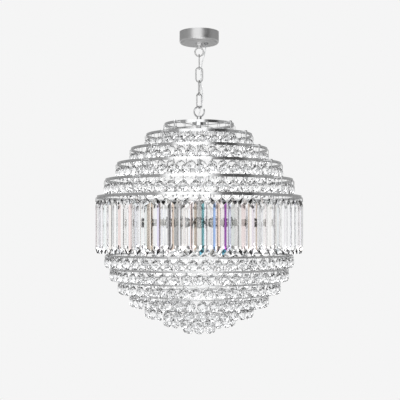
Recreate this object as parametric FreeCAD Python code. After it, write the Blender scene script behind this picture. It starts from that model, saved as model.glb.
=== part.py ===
"""Orb chandelier: rings of cut-glass beads and a band of prisms around a six-lamp cluster.

It hangs from a ceiling rose on a short chain with a clear flex woven through it.
Millimetres. The origin is the middle of the ceiling rose's back, +Z is up.
"""
import FreeCAD
import Part
import math
import os
from FreeCAD import Vector

UP = Vector(0, 0, 1)
ORIGIN = Vector(0, 0, 0)

# ---------------------------------------------------------------- ceiling rose
ROSE_RADIUS = 40.0
ROSE_DEPTH = 24.0
ROSE_WALL = 1.2
ROSE_ROUND = 5.0
BRACKET_LENGTH = 70.0
BRACKET_WIDTH = 14.0
BRACKET_THICKNESS = 1.8
FIXING_SPACING = 50.0
FIXING_HOLE_RADIUS = 2.5
EYE_SHANK_RADIUS = 4.0
EYE_SHANK_SHOW = 1.0
EYE_SHANK_TOP_GAP = 0.2
EYE_RADIUS = 8.5
EYE_WIRE = 3.0
LOCKNUT_FLATS = 13.0
LOCKNUT_HEIGHT = 4.0
TERMINAL_SIZE = (22.0, 11.0, 10.0)
TERMINAL_BORE_RADIUS = 1.6
TERMINAL_SCREW_RADIUS = 1.7
TERMINAL_SCREW_DEPTH = 4.0

# ----------------------------------------------------------------- chain, flex
LINK_COUNT = 4
LINK_LENGTH = 32.0
LINK_WIDTH = 16.0
LINK_WIRE = 2.6
LINK_TURNS = (90.0, 0.0, 98.0, 44.0)
LINK_GAP = 0.3
FLEX_DIAMETER = 2.2
FLEX_GAP = 0.3
BUSH_WALL = 1.6
BUSH_LIP = 1.4

# --------------------------------------------------------- loop, spider, stem
LOOP_RADIUS = 10.5
LOOP_WIRE = 3.0
LOOP_TURN = -12.0
LOOP_MOUTH = (28.0, 62.0)
NECK_RADIUS = 5.0
NECK_HEIGHT = 7.0
NECK_WALL = 0.9
COLLAR_RADIUS = 7.0
COLLAR_HEIGHT = 4.0
HUB_RADIUS = 14.0
HUB_THICKNESS = 7.3
ARM_WIDTH = 4.6
STEM_RADIUS = 4.0
STEM_WALL = 0.9
THREAD_GAP = 0.05

# ----------------------------------------------------------------------- rings
# The radius of each ring and the height of its middle above the orb's middle.
UPPER_RINGS = ((70.0, 208.0), (107.0, 186.0), (138.0, 157.0),
               (166.0, 127.0), (189.5, 94.0), (206.5, 60.0))
LOWER_RINGS = ((188.0, -57.0), (178.0, -84.0), (161.5, -110.0), (138.0, -136.0),
               (107.0, -158.5), (70.0, -176.0), (29.0, -190.8))
UPPER_BAND_HEIGHT = 5.5
LOWER_BAND_HEIGHT = 3.6
BAND_THICKNESS = 1.5

# ---------------------------------------------------- struts between the rings
STRUT_COUNT = 4
STRUT_TURN = 52.0
STRUT_RADIUS = 1.3
SPIGOT_RADIUS = 1.0
SPIGOT_GAP = 0.1
TAB_WIDTH = 6.0
TAB_THICKNESS = 1.2
# How far the tabs' tops lie below the top of an upper band, which hides the nuts on them.
UPPER_TAB_RECESS = 1.9
STRUT_OUTSIDE = 9.0
STRUT_INSIDE = 8.0
CAP_NUT_FLATS = 4.8
CAP_NUT_HEIGHT = 1.8

# -------------------------------------------------------------------- crystals
BEAD_WIDTH = 20.0
BEAD_THICKNESS = 8.4
BEAD_RIM = 2.0
BEAD_TABLE = 9.6
BEAD_PITCH = 23.5
PRISM_WIDTH = 18.6
PRISM_LENGTH = 105.0
PRISM_CORNER = 8.0
PRISM_THICKNESS = 8.0
PRISM_RIM = 1.8
PRISM_BEVEL = 4.6
PRISM_END_BEVEL = 9.0
PRISM_COUNT = 64
# How far below its band each row of crystals starts.
UPPER_DROPS = (13.0, 7.0, 7.0, 7.0, 6.5, 5.0)
LOWER_DROP = 2.4
HANGING_HOLE_RADIUS = 0.9
HOLE_DEPTH = 2.4
HOOK_WIRE = 0.9
HOOK_GAP = 0.35
BAND_HOLE_RISE = 1.5

# ---------------------------------------------------------------- lamp cluster
LAMP_COUNT = 6
LAMP_HEIGHT = 9.0
LAMP_HUB_RADIUS = 12.0
LAMP_HUB_CAVITY = 8.0
LAMP_ARM_RADIUS = 2.5
LAMP_ARM_WALL = 0.8
HOLDER_START = 47.0
HOLDER_RADIUS = 9.0
HOLDER_LENGTH = 13.5
HOLDER_NOSE_RADIUS = 7.8
HOLDER_NOSE_LENGTH = 7.0
HOLDER_RING_RADIUS = 12.2
HOLDER_RING_LENGTH = 6.0
BULB_RADIUS = 6.75
BULB_LENGTH = 32.0
BULB_SEAT_GAP = 0.5
PIN_SPACING = 9.0
PIN_RADIUS = 0.7
PIN_LENGTH = 10.0
PIN_HOLE_RADIUS = 1.0
LEAD_RADIUS = 0.9
STEM_LEAD_RADIUS = 1.1

# ----------------------------------------------- heights, from the ceiling down
rose_bottom = -ROSE_DEPTH
eye_middle = rose_bottom - LOCKNUT_HEIGHT - EYE_WIRE - EYE_RADIUS - EYE_SHANK_SHOW
eye_bottom = eye_middle - EYE_RADIUS
first_link_rise = (EYE_WIRE + LINK_WIRE) / 2 + LINK_GAP
link_reach = (LINK_LENGTH - LINK_WIRE) / 2
link_pitch = 2 * link_reach - LINK_WIRE - LINK_GAP
link_middles = [eye_bottom + first_link_rise - link_reach - i * link_pitch for i in range(LINK_COUNT)]
chain_bottom = link_middles[-1] - link_reach
loop_top = chain_bottom + (LOOP_WIRE + LINK_WIRE) / 2 + LINK_GAP
loop_middle = loop_top - LOOP_RADIUS
loop_bottom = loop_middle - LOOP_RADIUS
neck_top = loop_bottom
neck_bottom = neck_top - NECK_HEIGHT
hub_top = neck_bottom - COLLAR_HEIGHT
hub_bottom = hub_top - HUB_THICKNESS
orb_middle = hub_bottom + 2 * TAB_THICKNESS + UPPER_TAB_RECESS - UPPER_BAND_HEIGHT / 2 - UPPER_RINGS[0][1]
lamp_level = orb_middle + LAMP_HEIGHT

# The flex's route: how far out (x), how far in front (y), and the height above the orb's middle.
FLEX_ROUTE = ((14.0, -4.0, 388.0), (14.0, -4.0, 365.0), (9.6, -5.2, 347.0), (4.8, -4.6, 330.0),
              (3.4, -3.7, 312.0), (3.1, -3.6, 295.0), (6.0, -3.5, 279.0), (7.2, -4.0, 262.0),
              (5.0, -4.9, 249.0), (1.9, -4.4, 239.0), (0.2, -3.2, 231.0), (0.0, -2.8, 223.0),
              (0.0, -1.0, 212.0))


# ------------------------------------------------------------------ basic forms
def cylinder(radius, bottom, top, x=0.0, y=0.0):
    """An upright cylinder between two heights."""
    return Part.makeCylinder(radius, top - bottom, Vector(x, y, bottom), UP)


def tube(outer, inner, bottom, top, x=0.0, y=0.0):
    """An upright tube between two heights."""
    return cylinder(outer, bottom, top, x, y).cut(cylinder(inner, bottom, top, x, y))


def rod_along(radius, start, end, side=0.0, height=0.0):
    """A cylinder along +X from start to end, off its axis by side and height."""
    return Part.makeCylinder(radius, end - start, Vector(start, side, height), Vector(1, 0, 0))


def block(low, high):
    """A box between two opposite corners."""
    size = high - low
    return Part.makeBox(size.x, size.y, size.z, low)


def hexagon(flats, bottom, top, x=0.0):
    """An upright hexagonal prism of a given width across its flats."""
    corner = flats / math.sqrt(3)
    points = [Vector(x + corner * math.cos(math.radians(60 * i)),
                     corner * math.sin(math.radians(60 * i)), bottom) for i in range(7)]
    return Part.Face(Part.makePolygon(points)).extrude(Vector(0, 0, top - bottom))


def turned(shape, angle):
    """A copy of a shape turned about the orb's own axis."""
    copy = shape.copy()
    copy.rotate(ORIGIN, UP, angle)
    return copy


def raised(shape, height):
    """A copy of a shape lifted by a height."""
    copy = shape.copy()
    copy.translate(Vector(0, 0, height))
    return copy


def around(shape, count, first=0.0):
    """Evenly turned copies of a shape about the orb's axis."""
    return [turned(shape, first + 360.0 * i / count) for i in range(count)]


def save(name, *shapes):
    """Write one node: a solid, or a group of separate solids."""
    shape = shapes[0] if len(shapes) == 1 else Part.makeCompound(list(shapes))
    shape.exportStep("parts/" + name + ".step")
    return shape


# --------------------------------------------------------------- ceiling fitting
def rose_cup():
    """A shallow spun cup, open against the ceiling, with a hole for the eye bolt and one for the flex."""
    outer = cylinder(ROSE_RADIUS, rose_bottom, 0)
    rim = [e for e in outer.Edges if abs(e.BoundBox.ZMax - rose_bottom) < 0.01 and e.Closed]
    outer = outer.makeFillet(ROSE_ROUND, rim)
    inner = cylinder(ROSE_RADIUS - ROSE_WALL, rose_bottom + ROSE_WALL, 0)
    rim = [e for e in inner.Edges if abs(e.BoundBox.ZMax - rose_bottom - ROSE_WALL) < 0.01 and e.Closed]
    inner = inner.makeFillet(ROSE_ROUND - ROSE_WALL, rim)
    cup = outer.cut(inner)
    cup = cup.cut(cylinder(EYE_SHANK_RADIUS + FLEX_GAP, rose_bottom - 1, rose_bottom + 2 * ROSE_WALL))
    x, y, _ = FLEX_ROUTE[0]
    return cup.cut(cylinder(bush_radius() + THREAD_GAP, rose_bottom - 1, rose_bottom + 2 * ROSE_WALL, x, y))


def bush_radius():
    """The outside of the bush that lines the flex's hole."""
    return FLEX_DIAMETER / 2 + FLEX_GAP + BUSH_WALL


def rose_bush():
    """A flanged plastic bush in the rose, round the flex."""
    x, y, _ = FLEX_ROUTE[0]
    body = cylinder(bush_radius(), rose_bottom - BUSH_LIP, rose_bottom + ROSE_WALL + BUSH_LIP, x, y)
    lip = cylinder(bush_radius() + BUSH_LIP, rose_bottom - BUSH_LIP, rose_bottom, x, y)
    hole = cylinder(FLEX_DIAMETER / 2 + FLEX_GAP, rose_bottom - 2 * BUSH_LIP, rose_bottom + 9, x, y)
    return body.fuse(lip).removeSplitter().cut(hole)


def rose_bracket():
    """A strap across the ceiling with two fixing holes, and the eye bolt's hole in its middle."""
    half = Vector(BRACKET_LENGTH / 2, BRACKET_WIDTH / 2, 0)
    strap = block(Vector(-half.x, -half.y, -BRACKET_THICKNESS), half)
    strap = strap.cut(cylinder(EYE_SHANK_RADIUS + THREAD_GAP, -BRACKET_THICKNESS - 1, 1))
    for side in (-1, 1):
        strap = strap.cut(cylinder(FIXING_HOLE_RADIUS, -BRACKET_THICKNESS - 1, 1, side * FIXING_SPACING / 2))
    return strap


def rose_eye():
    """A closed eye on a threaded shank that carries the chain."""
    ring = Part.makeTorus(EYE_RADIUS, EYE_WIRE / 2, Vector(0, 0, eye_middle), Vector(0, 1, 0))
    shank = cylinder(EYE_SHANK_RADIUS, eye_middle + EYE_RADIUS, -EYE_SHANK_TOP_GAP)
    return ring.fuse(shank).removeSplitter()


def rose_nuts():
    """One nut under the cup that holds it up, and one under the bracket that takes the load."""
    nuts = []
    for top in (rose_bottom, -BRACKET_THICKNESS):
        nut = hexagon(LOCKNUT_FLATS, top - LOCKNUT_HEIGHT, top)
        nuts.append(nut.cut(cylinder(EYE_SHANK_RADIUS + THREAD_GAP, top - LOCKNUT_HEIGHT, top)))
    return nuts


def terminal_block():
    """A two-pole connector under the bracket, with a bore and a screw for each wire."""
    length, width, height = TERMINAL_SIZE
    x, y, _ = FLEX_ROUTE[0]
    low = Vector(x - width / 2, y - length / 2, -BRACKET_THICKNESS - height)
    body = block(low, low + Vector(width, length, height))
    body = body.cut(cylinder(TERMINAL_BORE_RADIUS, low.z, low.z + height / 2, x, y))
    screws = []
    for side in (-1, 1):
        middle = y + side * length / 4
        mouth = low.x + width
        axis = (Vector(mouth - TERMINAL_SCREW_DEPTH, middle, low.z + height / 2), Vector(1, 0, 0))
        body = body.cut(Part.makeCylinder(TERMINAL_SCREW_RADIUS + THREAD_GAP, TERMINAL_SCREW_DEPTH + 1, *axis))
        screws.append(Part.makeCylinder(TERMINAL_SCREW_RADIUS, TERMINAL_SCREW_DEPTH - 0.5, *axis))
    return body, screws


# ------------------------------------------------------------------ chain, flex
def link_shape():
    """One oval link of round wire in the XZ plane, about the origin."""
    bend = (LINK_WIDTH - LINK_WIRE) / 2
    straight = link_reach - bend
    radius = LINK_WIRE / 2
    pieces = []
    for side in (-1, 1):
        pieces.append(Part.makeCylinder(radius, 2 * straight, Vector(side * bend, 0, -straight), UP))
        half = Part.makeTorus(bend, radius, ORIGIN, Vector(0, 1, 0))
        keep = block(Vector(-2 * bend, -2 * bend, 0), Vector(2 * bend, 2 * bend, 2 * bend))
        half = half.common(keep)
        if side < 0:
            half.rotate(ORIGIN, Vector(0, 1, 0), 180)
        half.translate(Vector(0, 0, side * straight))
        pieces.append(half)
    return pieces[0].fuse(pieces[1:]).removeSplitter()


def flex_points():
    """The flex's route as points, in order from the rose down."""
    return [Vector(x, y, orb_middle + z) for x, y, z in FLEX_ROUTE]


def flex_tube():
    """A tube along straight runs joined by tangent arcs, as large as the runs allow."""
    points = flex_points()
    edges = []
    here = points[0]
    for before, corner, after in zip(points, points[1:], points[2:]):
        back = (before - corner).normalize()
        ahead = (after - corner).normalize()
        reach = 0.45 * min((before - corner).Length, (after - corner).Length)
        half_turn = (math.pi - back.getAngle(ahead)) / 2
        radius = reach / math.tan(half_turn)
        start, end = corner + back * reach, corner + ahead * reach
        inward = (back + ahead).normalize()
        middle = corner + inward * (radius / math.cos(half_turn) - radius)
        edges.append(Part.LineSegment(here, start).toShape())
        edges.append(Part.Arc(start, middle, end).toShape())
        print("flex arc radius %.1f" % radius)
        here = end
    edges.append(Part.LineSegment(here, points[-1]).toShape())
    path = Part.Wire(edges)
    section = Part.Wire(Part.makeCircle(FLEX_DIAMETER / 2, points[0], points[1] - points[0]))
    flex = path.makePipeShell([section], True, False)
    ratio = flex.Volume / (math.pi * FLEX_DIAMETER ** 2 / 4 * path.Length)
    print("flex length %.1f mm, volume against section times length %.4f" % (path.Length, ratio))
    return flex


def flex_lengths(flex):
    """The flex cut at the middle of each link, so that each length crosses one hinge of the chain."""
    cuts = [0.0] + link_middles + [neck_bottom - ROSE_DEPTH]
    reach = ROSE_RADIUS
    lengths = []
    for top, bottom in zip(cuts, cuts[1:]):
        lengths.append(flex.common(block(Vector(-reach, -reach, bottom), Vector(reach, reach, top))))
    return lengths


# ------------------------------------------------------- loop, spider and stem
def top_loop():
    """An open loop on a hollow neck and collar, with a hole beside the wire where the flex goes in."""
    ring = Part.makeTorus(LOOP_RADIUS, LOOP_WIRE / 2, Vector(0, 0, loop_middle), Vector(0, 1, 0))
    mouth = [Vector(0, 0, loop_middle)]
    for angle in LOOP_MOUTH:
        reach = 3 * LOOP_RADIUS
        side = Vector(math.cos(math.radians(angle)), 0, math.sin(math.radians(angle))) * reach
        mouth.append(mouth[0] + side)
    wedge = Part.Face(Part.makePolygon(mouth + [mouth[0]])).extrude(Vector(0, 2 * LOOP_WIRE, 0))
    wedge.translate(Vector(0, -LOOP_WIRE, 0))
    ring = ring.cut(wedge)
    tip = math.radians(LOOP_MOUTH[1])
    centre = Vector(LOOP_RADIUS * math.cos(tip), 0, loop_middle + LOOP_RADIUS * math.sin(tip))
    ring = turned(ring.fuse(Part.makeSphere(LOOP_WIRE / 2, centre)), LOOP_TURN)
    body = ring.fuse([cylinder(NECK_RADIUS, neck_bottom, neck_top),
                      cylinder(COLLAR_RADIUS, hub_top, neck_bottom)])
    x, y, _ = FLEX_ROUTE[-2]
    body = body.cut(cylinder(NECK_RADIUS - NECK_WALL, neck_bottom, neck_top - 2 * NECK_WALL))
    body = body.cut(cylinder(STEM_RADIUS + THREAD_GAP, hub_top, neck_bottom))
    entry = cylinder(FLEX_DIAMETER / 2 + 2 * FLEX_GAP, neck_bottom, loop_bottom + LOOP_WIRE, x, y)
    return body.cut(entry)


def spider_pin_radius():
    """How far out the spider's arms are pinned to the first ring's tabs."""
    return UPPER_RINGS[0][0] - STRUT_INSIDE


def spider():
    """The hub disc and its flat arms, which carry the first ring's tabs, with a pin up at each arm's end."""
    disc = cylinder(HUB_RADIUS, hub_bottom, hub_top)
    reach = spider_pin_radius()
    top = hub_bottom + TAB_THICKNESS
    arm = block(Vector(0, -ARM_WIDTH / 2, hub_bottom), Vector(reach, ARM_WIDTH / 2, top))
    arm = arm.fuse([cylinder(ARM_WIDTH / 2, hub_bottom, top, reach),
                    cylinder(SPIGOT_RADIUS, top, top + TAB_THICKNESS + CAP_NUT_HEIGHT / 2, reach)])
    body = disc.fuse(around(arm, STRUT_COUNT, strut_turn())).removeSplitter()
    return body.cut(cylinder(STEM_RADIUS + THREAD_GAP, hub_bottom - 1, hub_top + 1))


def stem():
    """The hollow stem from the loop's collar down into the lamp hub."""
    bottom = lamp_level + LAMP_HUB_CAVITY
    return tube(STEM_RADIUS, STEM_RADIUS - STEM_WALL, bottom, neck_bottom)


# ------------------------------------------------------------------------ rings
def strut_turn():
    """The turn of the first strut from +X. The front of the orb is at -Y."""
    return STRUT_TURN - 90.0


def band_height(height):
    """The rings above the orb's middle have deeper bands than those below it."""
    return UPPER_BAND_HEIGHT if height > 0 else LOWER_BAND_HEIGHT


def tab_height(height):
    """The underside of a ring's tabs: below the top of an upper band, and flush with the top of a lower one."""
    recess = UPPER_TAB_RECESS if height > 0 else 0.0
    return orb_middle + height + band_height(height) / 2 - recess - TAB_THICKNESS


def tab_holes():
    """For each ring, its tabs' hole radii: where a strut comes in and where the next one leaves."""
    upper = [[spider_pin_radius()]] + [[r + STRUT_OUTSIDE] for r, _ in UPPER_RINGS[:-1]]
    for holes, (radius, _) in zip(upper, UPPER_RINGS[:-1]):
        holes.append(radius + STRUT_OUTSIDE)
    inner = [r - STRUT_INSIDE for r, _ in LOWER_RINGS]
    upper[-1].append(inner[0])
    lower = [[here] for here in inner]
    for holes, following in zip(lower, inner[1:]):
        holes.append(following)
    return upper, lower


def ring(radius, height, holes, hanging):
    """A flat band with a hole for each hook and four radial tabs with holes for the struts."""
    middle = orb_middle + height
    half = band_height(height) / 2
    outer, inner = radius + BAND_THICKNESS / 2, radius - BAND_THICKNESS / 2
    band = tube(outer, inner, middle - half, middle + half)
    low = tab_height(height)
    ends = sorted(holes + [radius])
    tab = block(Vector(ends[0], -TAB_WIDTH / 2, low), Vector(ends[-1], TAB_WIDTH / 2, low + TAB_THICKNESS))
    rounds = [cylinder(TAB_WIDTH / 2, low, low + TAB_THICKNESS, r) for r in ends if r != radius]
    tab = tab.fuse(rounds)
    for hole in holes:
        tab = tab.cut(cylinder(SPIGOT_RADIUS + SPIGOT_GAP, low - 1, low + 2 * TAB_THICKNESS, hole))
    body = band.fuse(around(tab, STRUT_COUNT, strut_turn())).removeSplitter()
    hole = rod_along(HANGING_HOLE_RADIUS, inner - 1, outer + 1, 0, middle - half + BAND_HOLE_RISE)
    return body.cut(around(hole, hanging))


def strut(radius, top, bottom):
    """A rod between two rings' tabs, shouldered down to a spigot through each tab."""
    reach = TAB_THICKNESS + CAP_NUT_HEIGHT / 2
    rod = cylinder(STRUT_RADIUS, bottom, top, radius)
    return rod.fuse(cylinder(SPIGOT_RADIUS, bottom - reach, top + reach, radius)).removeSplitter()


def cap_nut(radius, seat, way):
    """A hexagonal cap nut on a tab: way is 1 when it stands on the tab and -1 when it hangs under it."""
    nut = hexagon(CAP_NUT_FLATS, 0, CAP_NUT_HEIGHT, radius)
    nut = nut.cut(cylinder(SPIGOT_RADIUS + THREAD_GAP, 0, 0.6 * CAP_NUT_HEIGHT, radius))
    if way < 0:
        nut.rotate(Vector(radius, 0, 0), Vector(1, 0, 0), 180)
    return raised(nut, seat)


def struts_and_nuts():
    """Every strut, tier by tier from the top, and the cap nuts on their spigots."""
    rings = UPPER_RINGS + LOWER_RINGS
    radii = [holes[-1] for part in tab_holes() for holes in part]
    struts = []
    pin_nut = cap_nut(spider_pin_radius(), tab_height(rings[0][1]) + TAB_THICKNESS, 1)
    nuts = around(pin_nut, STRUT_COUNT, strut_turn())
    for radius, (_, above), (_, below) in zip(radii, rings, rings[1:]):
        top = tab_height(above)
        bottom = tab_height(below) + TAB_THICKNESS
        struts += around(strut(radius, top, bottom), STRUT_COUNT, strut_turn())
        nuts += around(cap_nut(radius, top + TAB_THICKNESS, 1), STRUT_COUNT, strut_turn())
        nuts += around(cap_nut(radius, bottom - TAB_THICKNESS, -1), STRUT_COUNT, strut_turn())
    return struts, nuts


# --------------------------------------------------------------------- crystals
def cut_corners(half_width, half_height, corner, depth):
    """The eight corners of a rectangle with its corners cut off, in the plane x = depth."""
    w, h, c = half_width, half_height, corner
    outline = ((w, h - c), (w - c, h), (c - w, h), (-w, h - c),
               (-w, c - h), (c - w, -h), (w - c, -h), (w, c - h))
    return [Vector(depth, y, z) for y, z in outline]


def crystal(width, height, corner, thickness, rim, table_width, table_height, table_corner):
    """A cut glass plate with a thin rim, and bevels up to a flat table on each side.

    It faces along X, and the middle of its hanging hole is at the origin.
    """
    loops = [cut_corners(table_width / 2, table_height / 2, table_corner, thickness / 2),
             cut_corners(width / 2, height / 2, corner, rim / 2),
             cut_corners(width / 2, height / 2, corner, -rim / 2),
             cut_corners(table_width / 2, table_height / 2, table_corner, -thickness / 2)]
    faces = [Part.Face(Part.makePolygon(loop + [loop[0]])) for loop in (loops[0], loops[-1])]
    for near, far in zip(loops, loops[1:]):
        for i in range(8):
            j = (i + 1) % 8
            faces.append(Part.Face(Part.makePolygon([near[i], near[j], far[j], far[i], near[i]])))
    shell = Part.Shell(faces)
    shell.sewShape()
    solid = Part.Solid(shell)
    if solid.Volume < 0:
        solid.reverse()
    solid.translate(Vector(0, 0, HOLE_DEPTH - height / 2))
    return solid.cut(rod_along(HANGING_HOLE_RADIUS, -thickness, thickness))


def octagon_corner(width):
    """How much is cut off a square of this width to make a regular octagon."""
    return width * (1 - 1 / math.sqrt(2))


def bead():
    """A regular octagon with bevels up to a smaller octagon on each side."""
    cut, table_cut = octagon_corner(BEAD_WIDTH), octagon_corner(BEAD_TABLE)
    return crystal(BEAD_WIDTH, BEAD_WIDTH, cut, BEAD_THICKNESS, BEAD_RIM, BEAD_TABLE, BEAD_TABLE, table_cut)


def prism():
    """A long plate with cut corners and wide bevels."""
    return crystal(PRISM_WIDTH, PRISM_LENGTH, PRISM_CORNER, PRISM_THICKNESS, PRISM_RIM,
                   PRISM_WIDTH - 2 * PRISM_BEVEL, PRISM_LENGTH - 2 * PRISM_END_BEVEL, PRISM_CORNER / 2)


def hook(drop):
    """A bent wire link that goes through a band's hole and, below it, a crystal's hole at the origin."""
    reach = bead_half_at_hole() + HOOK_GAP
    half = HOOK_WIRE / 2
    rise = hole_to_hole(drop)
    outer = block(Vector(-reach - HOOK_WIRE, -half, -half), Vector(reach + HOOK_WIRE, half, rise + half))
    inner = block(Vector(-reach, -HOOK_WIRE, half), Vector(reach, HOOK_WIRE, rise - half))
    return outer.cut(inner)


def bead_half_at_hole():
    """Half the thickness of a bead just above its hanging hole's lower edge."""
    slope = (BEAD_THICKNESS - BEAD_RIM) / (BEAD_WIDTH - BEAD_TABLE)
    return BEAD_RIM / 2 + slope * (HOLE_DEPTH + HOOK_WIRE / 2)


def hole_to_hole(drop):
    """From a crystal's hanging hole up to the hole in its band."""
    return HOLE_DEPTH + drop + BAND_HOLE_RISE


def hang(shape, radius, height, drop, count):
    """Copies of a crystal or a hook, one below each hole of a band."""
    middle = orb_middle + height - band_height(height) / 2 + BAND_HOLE_RISE - hole_to_hole(drop)
    placed = shape.copy()
    placed.translate(Vector(radius, 0, middle))
    return around(placed, count)


def bead_count(radius):
    """How many beads fit round a ring at the usual pitch."""
    return round(2 * math.pi * radius / BEAD_PITCH)


# ----------------------------------------------------------------- lamp cluster
def lamp_turns(shape):
    """A lamp part made along +X, at each of the lamps."""
    return around(raised(shape, lamp_level), LAMP_COUNT)


def lamp_hub():
    """A hollow ball that the stem enters from above and the arms leave level."""
    centre = Vector(0, 0, lamp_level)
    ball = Part.makeSphere(LAMP_HUB_RADIUS, centre).cut(Part.makeSphere(LAMP_HUB_CAVITY, centre))
    ball = ball.cut(cylinder(STEM_RADIUS + THREAD_GAP, lamp_level, lamp_level + 2 * LAMP_HUB_RADIUS))
    return ball.cut(lamp_turns(rod_along(LAMP_ARM_RADIUS + THREAD_GAP, 1, 2 * LAMP_HUB_RADIUS)))


def lamp_arm():
    """A tube from the hub's cavity into the back of a lamp holder."""
    end = HOLDER_START + HOLDER_LENGTH / 3
    outer = rod_along(LAMP_ARM_RADIUS, LAMP_HUB_CAVITY, end)
    return outer.cut(rod_along(LAMP_ARM_RADIUS - LAMP_ARM_WALL, LAMP_HUB_CAVITY - 1, end + 1))


def lamp_leads():
    """The flex's core down the stem, and one lead out through each arm."""
    flex_end = flex_points()[-1].z
    core = cylinder(STEM_LEAD_RADIUS, lamp_level - STEM_LEAD_RADIUS, flex_end - FLEX_GAP)
    lead = rod_along(LEAD_RADIUS, STEM_LEAD_RADIUS + FLEX_GAP, HOLDER_START + HOLDER_LENGTH / 3)
    return [core] + lamp_turns(lead)


def lamp_holder():
    """A ceramic holder with a narrower nose, a socket for the arm and two pin holes in its face."""
    shoulder = HOLDER_START + HOLDER_LENGTH
    face = shoulder + HOLDER_NOSE_LENGTH
    body = rod_along(HOLDER_RADIUS, HOLDER_START, shoulder).fuse(rod_along(HOLDER_NOSE_RADIUS, shoulder, face))
    body = body.removeSplitter()
    socket = rod_along(LAMP_ARM_RADIUS + THREAD_GAP, HOLDER_START - 1, HOLDER_START + HOLDER_LENGTH / 3)
    for side in (-1, 1):
        depth = PIN_LENGTH + BULB_SEAT_GAP
        pin_hole = rod_along(PIN_HOLE_RADIUS, face - depth, face + 1, side * PIN_SPACING / 2)
        body = body.cut(pin_hole)
    return body.cut(socket)


def holder_ring():
    """The bright collar round a holder's nose."""
    start = HOLDER_START + HOLDER_LENGTH
    outer = rod_along(HOLDER_RING_RADIUS, start, start + HOLDER_RING_LENGTH)
    return outer.cut(rod_along(HOLDER_NOSE_RADIUS + THREAD_GAP, start - 1, start + HOLDER_RING_LENGTH + 1))


def bulb():
    """A frosted capsule lamp with a domed end and two pins in its holder."""
    base = HOLDER_START + HOLDER_LENGTH + HOLDER_NOSE_LENGTH + BULB_SEAT_GAP
    dome = base + BULB_LENGTH - BULB_RADIUS
    body = rod_along(BULB_RADIUS, base, dome).fuse(Part.makeSphere(BULB_RADIUS, Vector(dome, 0, 0)))
    pins = [rod_along(PIN_RADIUS, base - PIN_LENGTH, base + 1, side * PIN_SPACING / 2) for side in (-1, 1)]
    return body.fuse(pins).removeSplitter()


# -------------------------------------------------------------------- the nodes
def save_ceiling_fitting():
    """The rose and what is in it."""
    block_body, screws = terminal_block()
    save("rose_cup", rose_cup())
    save("rose_bracket", rose_bracket())
    save("rose_eye_bolt", rose_eye())
    save("rose_nuts", *rose_nuts())
    save("rose_flex_bush", rose_bush())
    save("terminal_block", block_body)
    save("terminal_screws", *screws)


def save_chain():
    """The links and the clear flex woven through them."""
    link = link_shape()
    for i, (middle, turn) in enumerate(zip(link_middles, LINK_TURNS)):
        save("chain_link_%d" % (i + 1), raised(turned(link, turn), middle))
    for i, length in enumerate(flex_lengths(flex_tube())):
        save("flex_length_%d" % (i + 1), length)


def save_frame():
    """The loop, spider, stem, rings, struts and nuts."""
    save("top_loop", top_loop())
    save("top_spider", spider())
    save("centre_stem", stem())
    upper, lower = tab_holes()
    for i, ((radius, height), holes) in enumerate(zip(UPPER_RINGS, upper)):
        hanging = PRISM_COUNT if i == len(UPPER_RINGS) - 1 else bead_count(radius)
        save("upper_ring_%d" % (i + 1), ring(radius, height, holes, hanging))
    for i, ((radius, height), holes) in enumerate(zip(LOWER_RINGS, lower)):
        save("lower_ring_%d" % (i + 1), ring(radius, height, holes, bead_count(radius)))
    struts, nuts = struts_and_nuts()
    save("ring_struts", *struts)
    save("strut_cap_nuts", *nuts)


def save_crystals():
    """The beads of each ring, the prisms, and the hooks that they hang from."""
    hooks = []
    radius, height = UPPER_RINGS[-1]
    drop = UPPER_DROPS[-1]
    save("prisms", *hang(prism(), radius, height, drop, PRISM_COUNT))
    hooks += hang(hook(drop), radius, height, drop, PRISM_COUNT)
    tiers = [("upper", UPPER_RINGS[:-1], UPPER_DROPS), ("lower", LOWER_RINGS, [LOWER_DROP] * len(LOWER_RINGS))]
    for name, rings, drops in tiers:
        for i, ((radius, height), drop) in enumerate(zip(rings, drops)):
            count = bead_count(radius)
            save("%s_beads_%d" % (name, i + 1), *hang(bead(), radius, height, drop, count))
            hooks += hang(hook(drop), radius, height, drop, count)
    save("crystal_hooks", *hooks)


def save_lamps():
    """The lamp hub, arms, holders and bulbs."""
    save("lamp_hub", lamp_hub())
    save("lamp_arms", *lamp_turns(lamp_arm()))
    save("lamp_leads", *lamp_leads())
    save("lamp_holders", *lamp_turns(lamp_holder()))
    save("holder_rings", *lamp_turns(holder_ring()))
    for i, one in enumerate(lamp_turns(bulb())):
        save("bulb_%d" % (i + 1), one)


def main():
    """Write every node."""
    os.makedirs("parts", exist_ok=True)
    print("orb middle at %.1f, ceiling to orb middle" % orb_middle)
    save_ceiling_fitting()
    save_chain()
    save_frame()
    save_crystals()
    save_lamps()


main()
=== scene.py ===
import math

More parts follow.
